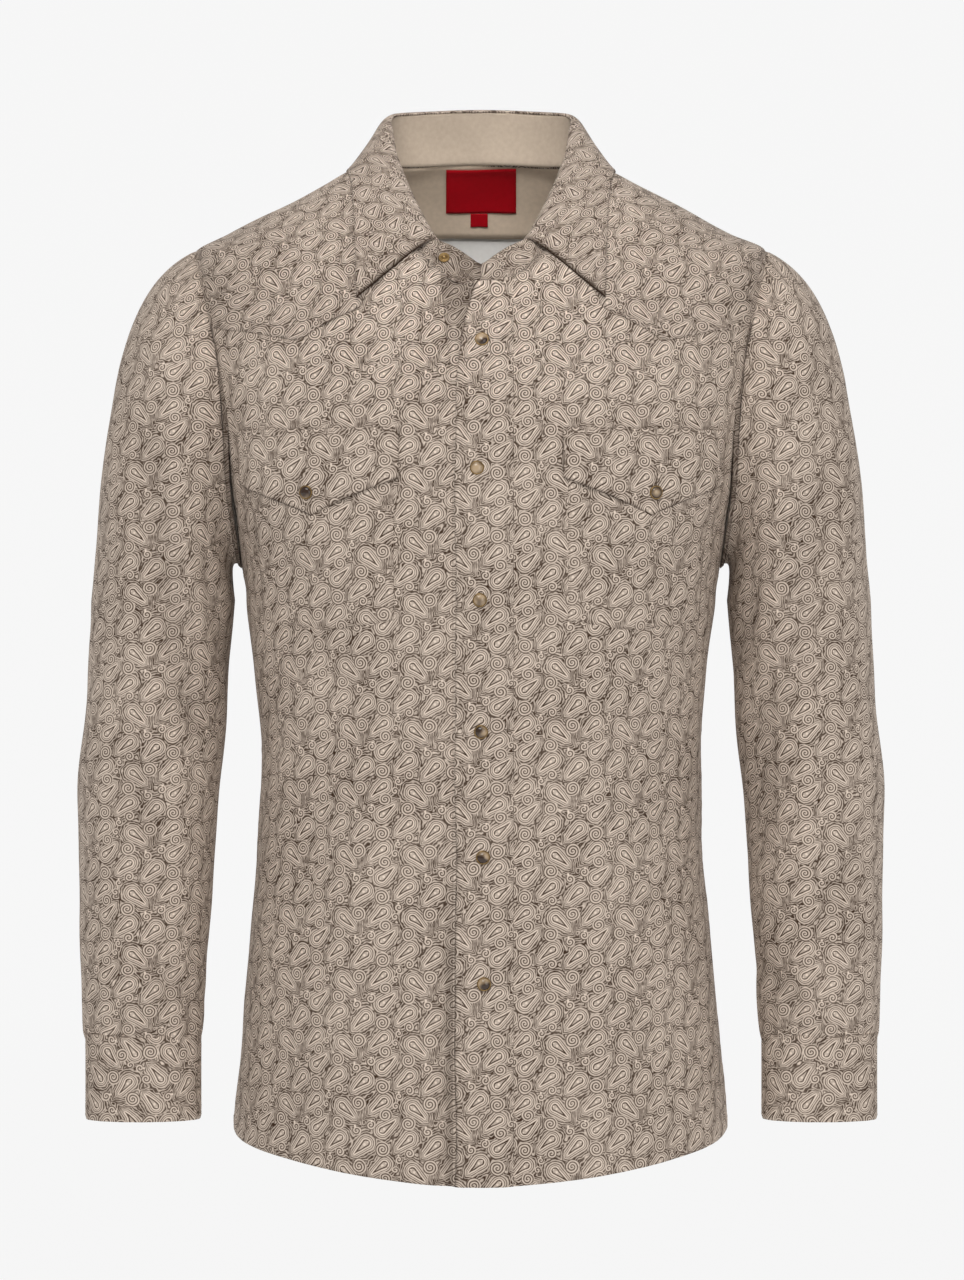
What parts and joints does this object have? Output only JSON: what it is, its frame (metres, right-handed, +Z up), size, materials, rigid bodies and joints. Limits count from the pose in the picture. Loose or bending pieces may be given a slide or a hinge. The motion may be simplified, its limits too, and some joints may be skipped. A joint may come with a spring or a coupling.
{
  "type": "western snap shirt",
  "caption": "Long-sleeved western shirt in an all-over paisley print, filled out as worn: point collar, pointed yokes, snap front, pointed chest-pocket flaps, band cuffs.",
  "frame": {"origin": "middle of the neck hole, level with the shoulders beside the collar, where the wearer's neck and shoulders hold the shirt up", "axes": "+Z up along the body, -Y out of the front, +X to the wearer's left"},
  "size_m": [0.6302, 0.2889, 0.8396],
  "materials": {
    "print": "cotton poplin printed all over with a small beige paisley on taupe, matt",
    "facing": "plain tan cotton, matt",
    "label": "plain red woven label, slightly glossy",
    "snap": "pearl cap, olive to cream, polished, in a brass rim",
    "brass": "stamped brass stud, satin"
  },
  "bodies": {
    "root": {"back_panel": "print", "back_yoke": "print", "front_panel_left": "print", "front_panel_right": "print", "front_yoke_left": "print", "front_yoke_right": "print", "placket_left": "print", "placket_right": "print", "pocket_left": "print", "pocket_right": "print", "flap_left": "print", "flap_right": "print", "sleeve_left": "print", "sleeve_right": "print", "cuff_left": "print", "cuff_right": "print", "sleeve_placket_left": "print", "sleeve_placket_right": "print", "collar_stand_outer": "print", "collar_leaf": "print", "yoke_facing": "facing", "collar_stand_inner": "facing", "label": "label", "label_tab": "label", "snap_front_1": "snap", "snap_front_2": "snap", "snap_front_3": "snap", "snap_front_4": "snap", "snap_front_5": "snap", "snap_front_6": "snap", "snap_flap_left": "snap", "snap_flap_right": "snap", "snap_cuff_left": "snap", "snap_cuff_right": "snap", "collar_stud": "brass"}
  },
  "joints": []
}
